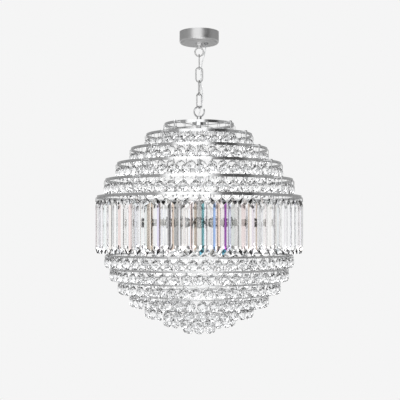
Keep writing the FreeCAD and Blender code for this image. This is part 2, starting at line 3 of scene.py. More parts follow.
import bmesh
import bpy
import numpy as np
from bpy.props import FloatProperty, FloatVectorProperty, IntProperty, PointerProperty
from bpy.types import Operator, Panel, PropertyGroup
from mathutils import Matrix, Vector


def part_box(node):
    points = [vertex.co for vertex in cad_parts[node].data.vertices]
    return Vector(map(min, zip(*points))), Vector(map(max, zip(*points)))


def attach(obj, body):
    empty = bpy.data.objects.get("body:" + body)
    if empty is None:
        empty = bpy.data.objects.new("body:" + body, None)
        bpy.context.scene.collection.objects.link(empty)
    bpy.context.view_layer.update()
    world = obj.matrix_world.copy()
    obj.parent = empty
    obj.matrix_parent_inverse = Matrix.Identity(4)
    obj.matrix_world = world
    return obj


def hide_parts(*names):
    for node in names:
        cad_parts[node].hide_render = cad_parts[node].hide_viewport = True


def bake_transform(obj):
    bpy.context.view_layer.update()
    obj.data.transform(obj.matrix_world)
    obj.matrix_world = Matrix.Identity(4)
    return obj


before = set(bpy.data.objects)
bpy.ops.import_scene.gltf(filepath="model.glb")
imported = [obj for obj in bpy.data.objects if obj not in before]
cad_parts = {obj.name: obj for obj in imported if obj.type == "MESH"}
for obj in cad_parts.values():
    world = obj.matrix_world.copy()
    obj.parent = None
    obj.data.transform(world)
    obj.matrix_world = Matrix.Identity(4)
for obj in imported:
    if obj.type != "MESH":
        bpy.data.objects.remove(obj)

bl_info = {
    "name": "Orb chandelier",
    "version": (1, 0, 0),
    "blender": (4, 5, 0),
    "location": "3D view, sidebar, Chandelier tab",
    "description": "Dresses the packed orb chandelier: cut glass, bright metal, lamps and a plain studio",
    "category": "Object",
}

MM = 0.001
UPPER_COUNT = 6
LOWER_COUNT = 7
LINK_COUNT = 4
LAMP_COUNT = 6
FRAME_PIXELS = 400
SENSOR_WIDTH = 36.0


# ---------------------------------------------------------------------- settings
class CrystalSettings(PropertyGroup):
    """Sizes of the cut glass."""
    bead_pitch: FloatProperty(name="Bead pitch", description="Distance round a ring from bead to bead",
                              default=23.5 * MM, unit="LENGTH")
    bead_mid_radius: FloatProperty(name="Bead star radius",
                                   description="Where a bead's inner facets meet its outer ones",
                                   default=8.0 * MM, unit="LENGTH")
    bead_mid_depth: FloatProperty(name="Bead star depth",
                                  description="Half thickness of a bead at that radius",
                                  default=2.9 * MM, unit="LENGTH")
    bead_table_radius: FloatProperty(name="Bead table radius",
                                     description="Corner radius of a bead's flat face",
                                     default=4.6 * MM, unit="LENGTH")
    bead_table_depth: FloatProperty(name="Bead table depth",
                                    description="Half thickness of a bead at its flat face",
                                    default=4.1 * MM, unit="LENGTH")
    bead_rim: FloatProperty(name="Bead rim", description="Thickness of a bead's edge",
                            default=1.6 * MM, unit="LENGTH")
    bead_twist: FloatProperty(name="Bead twist", description="How far a hanging bead may turn from square",
                              default=math.radians(9), subtype="ANGLE")
    prism_count: IntProperty(name="Prisms", description="Prisms round the widest ring", default=64)
    prism_corner: FloatProperty(name="Prism corner", description="How much is cut off a prism's corners",
                                default=8.0 * MM, unit="LENGTH")
    prism_end: FloatProperty(name="Prism end", description="Length of the bevel at a prism's ends",
                             default=9.0 * MM, unit="LENGTH")
    prism_width: FloatProperty(name="Prism width", description="Width of a prism",
                               default=18.4 * MM, unit="LENGTH")
    prism_thickness: FloatProperty(name="Prism thickness", description="Thickness of a prism at its face",
                                   default=7.4 * MM, unit="LENGTH")
    prism_rim: FloatProperty(name="Prism rim", description="Thickness of a prism's edge",
                             default=1.6 * MM, unit="LENGTH")
    prism_bevel: FloatProperty(name="Prism bevel", description="Width of a prism's bevel",
                               default=5.0 * MM, unit="LENGTH")
    prism_twist: FloatProperty(name="Prism twist", description="How far a hanging prism may turn from square",
                               default=math.radians(2.2), subtype="ANGLE")
    hook_wire: FloatProperty(name="Hook wire", description="Thickness of the hooks' wire",
                             default=0.9 * MM, unit="LENGTH")


class FinishSettings(PropertyGroup):
    """Colours of the finishes."""
    crystal: FloatVectorProperty(name="Crystal", description="Colour of the cut glass", subtype="COLOR",
                                 default=(0.985, 0.99, 0.995))
    chrome: FloatVectorProperty(name="Chrome", description="Colour of the plated metal", subtype="COLOR",
                                default=(0.76, 0.765, 0.77))
    frosted: FloatVectorProperty(name="Frosted glass", description="Colour of the lamps", subtype="COLOR",
                                 default=(0.93, 0.93, 0.915))
    nickel: FloatVectorProperty(name="Nickel", description="Colour of the lamp holders and arms",
                                subtype="COLOR", default=(0.60, 0.59, 0.55))
    backdrop: FloatVectorProperty(name="Backdrop", description="Colour behind the chandelier",
                                  subtype="COLOR", default=(0.913, 0.913, 0.913))


# ------------------------------------------------------------------ mesh helpers
def make_mesh(name, vertices, faces, smooth=False, body=None):
    """A new object at the origin from an array of vertices and a list of faces."""
    mesh = bpy.data.meshes.new(name)
    mesh.from_pydata(np.asarray(vertices, float).tolist(), [], faces)
    mesh.update()
    mesh.polygons.foreach_set("use_smooth", [smooth] * len(mesh.polygons))
    piece = bpy.data.objects.new(name, mesh)
    bpy.context.scene.collection.objects.link(piece)
    if body:
        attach(piece, body)
    return piece


def repeated(vertices, faces, turns, moves):
    """Copies of one form: each turned by its 3x3 matrix and then moved, with its faces numbered on."""
    copies = np.einsum("nij,vj->nvi", turns, vertices) + moves[:, None, :]
    step = len(vertices)
    numbered = [[i + n * step for i in face] for n in range(len(turns)) for face in faces]
    return copies.reshape(-1, 3), numbered


def joined(forms):
    """Several forms as one, each one's faces numbered on from the last."""
    vertices, faces, step = [], [], 0
    for points, polygons in forms:
        vertices.append(points)
        faces += [[i + step for i in polygon] for polygon in polygons]
        step += len(points)
    return np.concatenate(vertices), faces


def places_round(radius, height, count):
    """Even places round the upright axis, from +X on: their angles, and (r cos a, r sin a, height)."""
    angle = np.arange(count) * 2 * math.pi / count
    return angle, np.stack([radius * np.cos(angle), radius * np.sin(angle), np.full(count, height)], -1)


def turns_about_z(angles):
    """Rotation matrices about the upright axis, one for each angle."""
    c, s, o = np.cos(angles), np.sin(angles), np.zeros_like(angles)
    return np.stack([np.stack([c, -s, o], -1), np.stack([s, c, o], -1), np.stack([o, o, o + 1], -1)], 1)


def ring_faces(rows, columns, close_rows=False, flip=False):
    """Quads between the rows of a grid whose columns close on themselves."""
    faces = []
    last = rows if close_rows else rows - 1
    for i in range(last):
        below, above = i * columns, ((i + 1) % rows) * columns
        for j in range(columns):
            k = (j + 1) % columns
            quad = [below + j, below + k, above + k, above + j]
            faces.append(quad[::-1] if flip else quad)
    return faces


def capped_faces(rows, columns):
    """Quads between a form's rings, and a flat face over the first ring and over the last."""
    faces = ring_faces(rows, columns)
    faces.append(list(range(columns))[::-1])
    faces.append([(rows - 1) * columns + j for j in range(columns)])
    return faces


def lathe(profile, sides, closed=False):
    """A solid of revolution about X: each profile point (x, r) becomes a circle (x, r sin a, r cos a).

    A closed profile's last point joins its first. An open one gets a flat face at each end.
    """
    profile = np.asarray(profile, float)
    angle = np.linspace(0, 2 * math.pi, sides, endpoint=False)
    x = np.repeat(profile[:, 0], sides)
    y = (profile[:, 1, None] * np.sin(angle)).ravel()
    z = (profile[:, 1, None] * np.cos(angle)).ravel()
    rows = len(profile)
    faces = ring_faces(rows, sides, close_rows=True) if closed else capped_faces(rows, sides)
    return np.stack([x, y, z], -1), [face[::-1] for face in faces]


def circles_along(path, side, up, radius, sides):
    """The points of a circle round each path point: point + radius (cos a side + sin a up)."""
    angle = np.linspace(0, 2 * math.pi, sides, endpoint=False)
    circle = np.cos(angle)[None, :, None] * side[:, None] + np.sin(angle)[None, :, None] * up[:, None]
    return (path[:, None] + radius * circle).reshape(-1, 3)


def tube_along(path, radius, sides):
    """A round tube: circles square to the path, each begun on the path's direction crossed with Y."""
    path = np.asarray(path, float)
    ahead = np.gradient(path, axis=0)
    ahead /= np.linalg.norm(ahead, axis=1, keepdims=True)
    side = np.cross(ahead, [0.0, 1.0, 0.0])
    side /= np.linalg.norm(side, axis=1, keepdims=True)
    up = np.cross(side, ahead)
    return circles_along(path, side, up, radius, sides), capped_faces(len(path), sides)


def face_outwards(piece):
    """Recalculate a closed mesh's normals so that they point outwards."""
    form = bmesh.new()
    form.from_mesh(piece.data)
    bmesh.ops.recalc_face_normals(form, faces=form.faces)
    form.to_mesh(piece.data)
    form.free()


# -------------------------------------------------------------- material helpers
class Nodes:
    """Short calls for building one material's node tree."""

    def __init__(self, name):
        self.material = bpy.data.materials.new(name)
        self.material.use_nodes = True
        self.tree = self.material.node_tree
        self.shader = next(n for n in self.tree.nodes if n.type == "BSDF_PRINCIPLED")
        self.place = self.add("ShaderNodeTexCoord").outputs["Object"]

    def add(self, kind, **values):
        """A new node with some of its own settings."""
        node = self.tree.nodes.new(kind)
        for key, value in values.items():
            setattr(node, key, value)
        return node

    def link(self, source, target):
        """Join an output to an input."""
        self.tree.links.new(source, target)

    def noise(self, scale, detail=3.0, stretch=None):
        """A noise value, from 0 to 1, on the piece's own coordinates."""
        node = self.add("ShaderNodeTexNoise")
        node.inputs["Scale"].default_value = scale
        node.inputs["Detail"].default_value = detail
        place = self.place
        if stretch:
            mapping = self.add("ShaderNodeMapping")
            mapping.inputs["Scale"].default_value = stretch
            self.link(place, mapping.inputs["Vector"])
            place = mapping.outputs["Vector"]
        self.link(place, node.inputs["Vector"])
        return node.outputs["Fac"]

    def ranged(self, value, low, high, start=0.3, end=0.7):
        """A value stretched from start..end to low..high, and held at those ends."""
        node = self.add("ShaderNodeMapRange")
        for key, number in zip(("From Min", "From Max", "To Min", "To Max"), (start, end, low, high)):
            node.inputs[key].default_value = number
        self.link(value, node.inputs["Value"])
        return node.outputs["Result"]

    def ramp(self, value, *stops):
        """A colour ramp from (place, colour) pairs."""
        node = self.add("ShaderNodeValToRGB")
        elements = node.color_ramp.elements
        while len(elements) < len(stops):
            elements.new(0.5)
        for element, (position, colour) in zip(elements, stops):
            element.position = position
            element.color = (*colour, 1.0)
        self.link(value, node.inputs["Fac"])
        return node.outputs["Color"]

    def bump(self, value, distance, strength):
        """A bump from a height value."""
        node = self.add("ShaderNodeBump")
        node.inputs["Distance"].default_value = distance
        node.inputs["Strength"].default_value = strength
        self.link(value, node.inputs["Height"])
        self.link(node.outputs["Normal"], self.shader.inputs["Normal"])

    def cloudy_colour(self, colour, darkest, scale, detail):
        """The base colour, which drifts in soft clouds from a darker shade to the full colour."""
        stops = ((0.3, shaded(colour, darkest)), (0.7, colour))
        self.link(self.ramp(self.noise(scale, detail), *stops), self.shader.inputs["Base Color"])

    def uneven_gloss(self, value, smoothest, roughest):
        """Roughness that follows a noise value between two levels."""
        self.link(self.ranged(value, smoothest, roughest), self.shader.inputs["Roughness"])

    def set(self, **values):
        """Plain numbers and colours on the shader's own sockets."""
        for key, value in values.items():
            socket = self.shader.inputs[key.replace("_", " ")]
            socket.default_value = (*value, 1.0) if isinstance(value, tuple) else value


def shaded(colour, factor):
    """A colour made darker or lighter by a factor."""
    return tuple(min(1.0, part * factor) for part in colour)


def crystal_glass(name, with_tints_and_painted_dispersion):
    """Clear lead glass with faint waves in its faces, coloured if asked by the piece's own attribute of pale
    tints and painted dispersion.
    """
    nodes = Nodes(name)
    nodes.set(Transmission_Weight=1.0, IOR=1.58, Metallic=0.0)
    if with_tints_and_painted_dispersion:
        # The attribute holds pale tints by chance and, on the front prisms, painted dispersion and
        # refraction.
        tint_and_painted_dispersion = nodes.add("ShaderNodeAttribute", attribute_name="tint_and_painted_dispersion").outputs["Color"]
        nodes.link(tint_and_painted_dispersion, nodes.shader.inputs["Base Color"])
    else:
        colour = tuple(bpy.context.scene.chandelier_finish.crystal)
        nodes.cloudy_colour(colour, darkest=0.97, scale=35.0, detail=1.0)
    nodes.uneven_gloss(nodes.noise(140.0), smoothest=0.0, roughest=0.015)
    nodes.bump(nodes.noise(60.0, 1.0), distance=0.2 * MM, strength=0.08)
    return nodes.material


def chrome_plate(name, brushing=(1.0, 1.0, 60.0), rough=(0.07, 0.2), darkest=0.9, colour=None):
    """Plated steel: fine lines, close together where brushing is large, and faint clouds from handling."""
    colour = colour or tuple(bpy.context.scene.chandelier_finish.chrome)
    nodes = Nodes(name)
    nodes.set(Metallic=1.0)
    nodes.cloudy_colour(colour, darkest, scale=18.0, detail=4.0)
    lines = nodes.noise(90.0, 4.0, brushing)
    nodes.uneven_gloss(lines, *rough)
    nodes.bump(lines, distance=0.05 * MM, strength=0.3)
    return nodes.material


def plain_finish(name, colour, rough, metallic=0.0, grain=220.0, **sockets):
    """A moulded, glazed or machined finish: slight colour drift, fine grain and uneven gloss."""
    nodes = Nodes(name)
    nodes.set(Metallic=metallic, **sockets)
    nodes.cloudy_colour(colour, darkest=0.93, scale=25.0, detail=3.0)
    fine = nodes.noise(grain, 2.0)
    nodes.uneven_gloss(fine, smoothest=rough * 0.8, roughest=rough * 1.25)
    nodes.bump(fine, distance=0.04 * MM, strength=0.4)
    return nodes.material


def dress(node, material):
    """Give a carried-over CAD node its finish."""
    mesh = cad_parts[node].data
    mesh.materials.clear()
    mesh.materials.append(material)


# ------------------------------------------------------------------------- stage
# The camera, in pixels of the 400 x 400 frame: focal length, horizon, and where the orb's middle lies.
FOCAL_PIXELS = 850.0
HORIZON_ROW = 230.0
ORB_ROW = 227.0
AXIS_LEFT_OF_MIDDLE = 0.8
METRES_PER_PIXEL = 2.04 * MM

# Soft boxes: name, place from the orb's middle in metres, width in metres, power in watts.
SOFT_BOXES = (("top_box", (0.3, -0.5, 1.7), 1.2, 9.0), ("left_box", (-1.9, -1.2, 0.5), 0.9, 7.0),
              ("right_box", (2.0, -0.9, 0.2), 0.9, 5.0), ("back_box", (0.6, 2.0, 0.9), 0.9, 5.0))

# Greys that the metal reflects above and below the level: (degrees round from the viewer's side, grey).
GREYS_ABOVE = ((-180, 0.50), (-120, 0.38), (-60, 0.43), (-46, 0.43), (-38, 1.5), (14, 1.5), (20, 0.40),
               (32, 0.10), (58, 0.09), (70, 0.42), (120, 0.38), (180, 0.50))
GREYS_BELOW = ((-180, 0.80), (-60, 0.72), (-40, 0.80), (-27, 1.05), (-13, 1.35), (0, 1.7), (16, 1.7),
               (26, 1.2), (36, 0.85), (50, 0.75), (75, 0.70), (180, 0.80))
# What those greys are multiplied by: (height of the direction, from -1 below to 1 above, factor).
METAL_LIGHT = ((-1.0, 0.8), (-0.6, 0.45), (-0.3, 0.25), (-0.12, 0.95), (-0.075, 0.90), (-0.06, 0.75),
               (-0.05, 0.54), (-0.03, 0.42), (0.0, 1.0), (0.12, 1.0), (0.35, 0.25), (0.8, 0.25), (1.0, 0.5))

# Patches that the glass bends into view: (noise value, grey), multiplied by (height, factor).
PATCH_SCALE = 3.0
PATCHES = ((0.0, 0.01), (0.47, 0.02), (0.485, 0.50), (0.50, 1.6), (0.55, 3.4), (0.62, 2.4), (1.0, 2.8))
PATCH_LIGHT = ((-1.0, 0.28), (-0.2, 0.35), (0.0, 0.88), (1.0, 1.25))
LEVEL_WHITE = (1.0, 1.0, 1.0, 1.0)
AHEAD_WHITE = (0.95, 0.95, 0.945, 1.0)
# Where one gives way to the next: low greys to high ones by height, level white to patches by height either
# way, and these to the white ahead by how nearly the direction is straight ahead.
GREYS_CHANGE, LEVEL_CHANGE, AHEAD_CHANGE = (-0.03, 0.0), (0.14, 0.25), (0.90, 0.97)


def orb_middle():
    """The height of the orb's middle, a little below the lamps' own level."""
    lamps_above_middle = 9.0 * MM
    low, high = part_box("bulb_1")
    return (low.z + high.z) / 2 - lamps_above_middle


class CHANDELIER_OT_stage(Operator):
    """Camera at the photograph's angle, a pale floor, and a studio of greys and bright and dark patches"""
    bl_idname = "chandelier.stage"
    bl_label = "Studio"

    def execute(self, context):
        """Make the camera, the floor, the lamps and the world."""
        backdrop = tuple(context.scene.chandelier_finish.backdrop)
        self.camera()
        self.floor(backdrop)
        self.lights()
        self.world(backdrop)
        context.scene.view_settings.view_transform = "Standard"
        return {"FINISHED"}

    def camera(self):
        """A level camera in front of the orb, at the distance that gives the scale at the orb's axis."""
        data = bpy.data.cameras.new("camera")
        data.sensor_width = SENSOR_WIDTH
        data.lens = SENSOR_WIDTH * FOCAL_PIXELS / FRAME_PIXELS
        data.shift_x = AXIS_LEFT_OF_MIDDLE / FRAME_PIXELS
        data.shift_y = (HORIZON_ROW - FRAME_PIXELS / 2) / FRAME_PIXELS
        camera = bpy.data.objects.new("camera", data)
        height = orb_middle() - (HORIZON_ROW - ORB_ROW) * METRES_PER_PIXEL
        camera.location = (0.0, -FOCAL_PIXELS * METRES_PER_PIXEL, height)
        camera.rotation_euler = (math.pi / 2, 0.0, 0.0)
        bpy.context.scene.collection.objects.link(camera)
        bpy.context.scene.camera = camera

    def floor(self, backdrop):
        """A wide pale floor below the chandelier."""
        half, below_orb_middle = 6.0, 0.95
        height = orb_middle() - below_orb_middle
        corners = [(x * half, y * half, height) for x, y in ((-1, -1), (1, -1), (1, 1), (-1, 1))]
        floor = make_mesh("floor", corners, [[0, 1, 2, 3]])
        nodes = Nodes("floor_paint")
        nodes.set(Metallic=0.0, Roughness=0.9)
        grain = nodes.noise(8.0, 3.0)
        nodes.link(nodes.ramp(grain, (0.3, (0.80, 0.80, 0.80)), (0.7, (0.83, 0.83, 0.83))),
                   nodes.shader.inputs["Base Color"])
        self.show_backdrop(nodes, backdrop)
        floor.data.materials.append(nodes.material)
        floor.visible_glossy = floor.visible_transmission = False

    def show_backdrop(self, nodes, backdrop):
        """Mix a plain light of the backdrop's colour over a material, for what the camera sees of it."""
        light = nodes.add("ShaderNodeEmission")
        light.inputs["Color"].default_value = (*backdrop, 1.0)
        mix = nodes.add("ShaderNodeMixShader")
        nodes.link(nodes.add("ShaderNodeLightPath").outputs["Is Camera Ray"], mix.inputs["Fac"])
        output = next(n for n in nodes.tree.nodes if n.type == "OUTPUT_MATERIAL")
        nodes.link(nodes.shader.outputs[0], mix.inputs[1])
        nodes.link(light.outputs[0], mix.inputs[2])
        nodes.link(mix.outputs[0], output.inputs["Surface"])

    def lights(self):
        """Soft boxes that face the orb's middle: one above, one each side in front, and one behind."""
        aim = np.array([0.0, 0.0, orb_middle()])
        for name, offset, size, power in SOFT_BOXES:
            data = bpy.data.lights.new(name, "AREA")
            data.size, data.energy = size, power
            lamp = bpy.data.objects.new(name, data)
            lamp.visible_glossy = lamp.visible_transmission = False
            lamp.location = aim + np.array(offset)
            away = np.array(offset) / np.linalg.norm(offset)
            lamp.rotation_euler = (math.acos(away[2]), 0.0, math.atan2(away[1], away[0]) + math.pi / 2)
            bpy.context.scene.collection.objects.link(lamp)

    def world(self, backdrop):
        """The flat backdrop to the eye, bright and dark patches to the glass, and greys to the metal."""
        world = bpy.data.worlds.new("studio")
        bpy.context.scene.world = world
        world.use_nodes = True
        tree = world.node_tree
        tree.nodes.clear()
        direction = self.node(tree, "ShaderNodeTexCoord").outputs["Generated"]
        split = self.node(tree, "ShaderNodeSeparateXYZ", direction)
        metal, glass = self.around_metal(tree, split), self.around_glass(tree, direction, split)
        rays = self.node(tree, "ShaderNodeLightPath")
        through = self.mix(tree, rays.outputs["Is Transmission Ray"], metal, glass)
        seen = self.mix(tree, rays.outputs["Is Camera Ray"], through, (*backdrop, 1.0))
        light = self.node(tree, "ShaderNodeBackground", seen)
        output = self.node(tree, "ShaderNodeOutputWorld")
        tree.links.new(light.outputs[0], output.inputs["Surface"])

    def around_metal(self, tree, split):
        """What the metal reflects: a ring of greys above the level, a softer one below, and their light."""
        back = self.node(tree, "ShaderNodeMath", split.outputs["Y"], operation="MULTIPLY", value=-1.0)
        azimuth = self.node(tree, "ShaderNodeMath", split.outputs["X"], back.outputs[0], operation="ARCTAN2")
        above = self.ramp(tree, azimuth.outputs[0], GREYS_ABOVE, math.radians(1))
        below = self.ramp(tree, azimuth.outputs[0], GREYS_BELOW, math.radians(1))
        level = self.rise(tree, split.outputs["Z"], *GREYS_CHANGE)
        light = self.ramp(tree, split.outputs["Z"], METAL_LIGHT)
        return self.mix(tree, 1.0, self.mix(tree, level, below, above), light, "MULTIPLY")

    def around_glass(self, tree, direction, split):
        """What the glass bends into view: patches, dimmer low down, and white near the level and ahead."""
        noise = self.node(tree, "ShaderNodeTexNoise", direction)
        noise.inputs["Scale"].default_value = PATCH_SCALE
        noise.inputs["Detail"].default_value = 1.0
        patches = self.ramp(tree, noise.outputs["Fac"], PATCHES)
        light = self.ramp(tree, split.outputs["Z"], PATCH_LIGHT)
        patches = self.mix(tree, 1.0, patches, light, "MULTIPLY")
        tilt = self.node(tree, "ShaderNodeMath", split.outputs["Z"], operation="ABSOLUTE")
        sides = self.mix(tree, self.rise(tree, tilt.outputs[0], *LEVEL_CHANGE), LEVEL_WHITE, patches)
        return self.mix(tree, self.rise(tree, split.outputs["Y"], *AHEAD_CHANGE), sides, AHEAD_WHITE)

    def rise(self, tree, source, low, high):
        """A value's rise from 0 at low to 1 at high."""
        node = self.node(tree, "ShaderNodeMapRange", source)
        node.inputs["From Min"].default_value = low
        node.inputs["From Max"].default_value = high
        return node.outputs["Result"]

    def mix(self, tree, factor, first, second, blend="MIX"):
        """A mix of two colours. Each of the three is an output to join, or a value to set."""
        node = self.node(tree, "ShaderNodeMix", data_type="RGBA", blend_type=blend)
        colour_sockets = [socket for socket in node.inputs if socket.type == "RGBA"]
        for socket, source in zip([node.inputs[0]] + colour_sockets, (factor, first, second)):
            if isinstance(source, bpy.types.NodeSocket):
                tree.links.new(source, socket)
            else:
                socket.default_value = source
        return next(socket for socket in node.outputs if socket.type == "RGBA")

    def node(self, tree, kind, *sources, value=None, **settings):
        """A new node with settings, its first inputs joined to the sources, and a number on the next."""
        node = tree.nodes.new(kind)
        for key, setting in settings.items():
            setattr(node, key, setting)
        for socket, source in zip(node.inputs, sources):
            tree.links.new(source, socket)
        if value is not None:
            node.inputs[len(sources)].default_value = value
        return node

    def ramp(self, tree, source, stops, unit=1.0):
        """A grey ramp of a value, from (place, grey) stops. A place times the unit is the value there."""
        first, last = stops[0][0], stops[-1][0]
        ramp = self.node(tree, "ShaderNodeValToRGB", self.rise(tree, source, first * unit, last * unit))
        elements = ramp.color_ramp.elements
        while len(elements) < len(stops):
            elements.new(0.5)
        for element, (position, grey) in zip(elements, stops):
            element.position = (position - first) / (last - first)
            element.color = (grey, grey, grey, 1.0)
        return ramp.outputs["Color"]


# ---------------------------------------------------------------------- crystals
BAND_THICKNESS = 1.5 * MM
BAND_HOLE_RISE = 1.5 * MM        # from a band's lower edge up to its holes
CRYSTAL_HOLE_DEPTH = 2.4 * MM    # from a crystal's top down to its hole
PRISM_SEED, BEAD_SEED = 11, 7


def bands(upper_count):
    """The names of the first upper bands and of all the lower ones, as (part, number)."""
    uppers = [("upper", i + 1) for i in range(upper_count)]
    return uppers + [("lower", i + 1) for i in range(LOWER_COUNT)]


def ring_radius(ring):
    """The middle radius of a ring's band: half the width of its box, less half its thickness."""
    low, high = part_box(ring)
    return (high.x - low.x) / 2 - BAND_THICKNESS / 2


def bead_count(settings, radius):
    """How many beads hang round a ring, as near the set pitch as a whole number allows."""
    return round(2 * math.pi * radius / settings.bead_pitch)


def bead_form(settings, size):
    """One octagon bead facing along X about the origin: a table, a star of facets and a rim on each side."""
    rim_radius = size / 2 / math.cos(math.pi / 8)
    rings = ((settings.bead_table_radius, settings.bead_table_depth, 0.5),
             (settings.bead_mid_radius, settings.bead_mid_depth, 0.0),
             (rim_radius, settings.bead_rim / 2, 0.5))
    rings += tuple((radius, -depth, phase) for radius, depth, phase in reversed(rings))
    return facets(rings)


def facets(rings):
    """Rings (radius r, depth d, phase p) of eight points (d, r sin a, r cos a), a = (step + p) 45 degrees.

    Quads join two rings of one phase, and triangles join two of different phases.
    """
    steps = np.arange(8)
    vertices = []
    for radius, depth, phase in rings:
        angle = (steps + phase) * math.pi / 4
        vertices.append(np.stack([np.full(8, depth), radius * np.sin(angle), radius * np.cos(angle)], -1))
    faces = [list(range(8))[::-1], [8 * (len(rings) - 1) + j for j in range(8)]]
    for i, (near, far) in enumerate(zip(rings, rings[1:])):
        for j in range(8):
            k = (j + 1) % 8
            a, b, c, d = 8 * i + j, 8 * i + k, 8 * (i + 1) + k, 8 * (i + 1) + j
            if near[2] == far[2]:
                faces.append([a, b, c, d])
            elif near[2] > far[2]:
                faces += [[a, c, d], [a, b, c]]
            else:
                faces += [[a, b, d], [b, c, d]]
    return np.concatenate(vertices), faces


def prism_form(settings, length):
    """One long prism facing along X about the origin: four cut-cornered outlines joined by bevels.

    The first and last are small, at the two faces. The others are full, at the two edges of the rim.
    """
    bevel = settings.prism_bevel
    loops = ((settings.prism_width - 2 * bevel, length - 2 * settings.prism_end, settings.prism_corner / 2,
              settings.prism_thickness / 2),
             (settings.prism_width, length, settings.prism_corner, settings.prism_rim / 2))
    loops += tuple((w, h, c, -d) for w, h, c, d in reversed(loops))
    vertices = []
    for width, height, corner, depth in loops:
        w, h, c = width / 2, height / 2, corner
        outline = np.array([(w, h - c), (w - c, h), (c - w, h), (-w, h - c),
                            (-w, c - h), (c - w, -h), (w - c, -h), (w, c - h)])
        vertices.append(np.column_stack([np.full(8, depth), outline]))
    faces = [list(range(8)), [8 * (len(loops) - 1) + j for j in range(8)][::-1]]
    for i in range(len(loops) - 1):
        for j in range(8):
            k = (j + 1) % 8
            faces.append([8 * i + j, 8 * (i + 1) + j, 8 * (i + 1) + k, 8 * i + k])
    return np.concatenate(vertices), faces


def hang(name, form, radius, height, count, twist, random):
    """Copies of a form evenly round the orb, each turned a little by chance about its own hanging line."""
    angle, moves = places_round(radius, height, count)
    own = random.uniform(-twist, twist, count)
    vertices, faces = repeated(form[0], form[1], turns_about_z(angle + own), moves)
    piece = make_mesh(name, vertices, faces, body="orb")
    face_outwards(piece)
    return piece


# Colours of the painted dispersion and refraction on the front prisms: rainbow tints and painted dark and
# pale refractions.
CLEAR, GREY, SLATE = (1.0, 1.0, 1.0), (0.62, 0.62, 0.60), (0.22, 0.22, 0.215)
PEACH, BROWN, PINK = (0.80, 0.56, 0.42), (0.38, 0.28, 0.20), (0.86, 0.66, 0.63)
TEAL, BLUE, LILAC, PURPLE = (0.06, 0.30, 0.36), (0.16, 0.30, 0.80), (0.62, 0.58, 0.90), (0.12, 0.01, 0.20)
FOOT_BLUE = (0.004, 0.035, 0.06)
# The numbers of a prism's facets.
TABLE, LEFT_BEVEL, RIGHT_BEVEL, RIGHT_FOOT = 0, 5, 9, 8
# Painted dispersion and refraction: colours painted on the nearest prisms' facets in place of the light that
# the glass splits and bends: prism from the front one, facet, colour.
FRONT_PAINTED_DISPERSION = (
    (-9, TABLE, GREY), (-8, TABLE, PINK), (-7, RIGHT_BEVEL, PINK), (-6, LEFT_BEVEL, GREY),
    (-5, RIGHT_BEVEL, BROWN), (-4, LEFT_BEVEL, BROWN), (-4, RIGHT_BEVEL, LILAC), (-3, TABLE, CLEAR),
    (-3, RIGHT_BEVEL, SLATE), (-2, LEFT_BEVEL, PEACH), (-2, TABLE, SLATE), (-2, RIGHT_BEVEL, CLEAR),
    (-1, LEFT_BEVEL, CLEAR), (-1, TABLE, CLEAR), (-1, RIGHT_BEVEL, PINK), (0, LEFT_BEVEL, BROWN),
    (0, TABLE, GREY), (0, RIGHT_BEVEL, TEAL), (0, RIGHT_FOOT, FOOT_BLUE), (1, LEFT_BEVEL, CLEAR),
    (1, TABLE, CLEAR), (1, RIGHT_BEVEL, BLUE), (2, LEFT_BEVEL, PEACH), (2, TABLE, CLEAR),
    (2, RIGHT_BEVEL, PURPLE), (2, RIGHT_FOOT, FOOT_BLUE), (3, LEFT_BEVEL, LILAC), (3, TABLE, GREY),
    (3, RIGHT_BEVEL, GREY), (4, LEFT_BEVEL, GREY), (4, TABLE, PINK), (5, RIGHT_BEVEL, BROWN),
    (6, LEFT_BEVEL, GREY), (8, LEFT_BEVEL, GREY))
# Pale tints that any facet may have, each with its chance.
PALE_TINTS = ((CLEAR, 0.50), ((0.95, 0.96, 0.97), 0.20), ((0.96, 0.91, 0.86), 0.05),
              ((0.88, 0.92, 0.98), 0.05), ((0.92, 0.89, 0.98), 0.05), ((0.88, 0.96, 0.96), 0.03),
              ((0.98, 0.90, 0.89), 0.04), ((0.82, 0.82, 0.81), 0.08))


def paint_tints_and_dispersion(piece, count, random):
    """A tint for each facet of each prism: a pale one by chance, and painted dispersion and refraction
    colours on chosen facets at the front.
    """
    tints, chances = zip(*PALE_TINTS)
    faces = len(piece.data.polygons)
    choice = random.choice(len(tints), size=(count, faces // count), p=chances)
    colours = np.array(tints)[choice]
    front = count * 3 // 4       # the prism at -Y, three quarters of the way round from +X
    # Painted dispersion and refraction colours on the front prisms.
    for step, facet, tint_and_painted_dispersion in FRONT_PAINTED_DISPERSION:
        colours[front + step, facet] = tint_and_painted_dispersion
    colours = np.concatenate([colours.reshape(-1, 3), np.ones((faces, 1))], 1)
    attribute = piece.data.attributes.new("tint_and_painted_dispersion", "FLOAT_COLOR", "CORNER")
    corners = np.zeros(faces, int)
    piece.data.polygons.foreach_get("loop_total", corners)
    attribute.data.foreach_set("color", np.repeat(colours, corners, axis=0).astype(np.float32).ravel())


class CHANDELIER_OT_prisms(Operator):
    """The band of long prisms under the widest ring"""
    bl_idname = "chandelier.prisms"
    bl_label = "Prisms"

    def execute(self, context):
        """Make the prisms in the place of their solids."""
        settings = context.scene.chandelier_crystal
        random = np.random.default_rng(PRISM_SEED)
        low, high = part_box("prisms")
        radius = ring_radius("upper_ring_6")
        form = prism_form(settings, high.z - low.z)
        piece = hang("prism_band", form, radius, (low.z + high.z) / 2, settings.prism_count,
                     settings.prism_twist, random)
        # Pale tints by chance, and painted dispersion and refraction on the front prisms.
        paint_tints_and_dispersion(piece, settings.prism_count, random)
        piece.data.materials.append(crystal_glass("prism_glass", True))
        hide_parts("prisms")
        return {"FINISHED"}


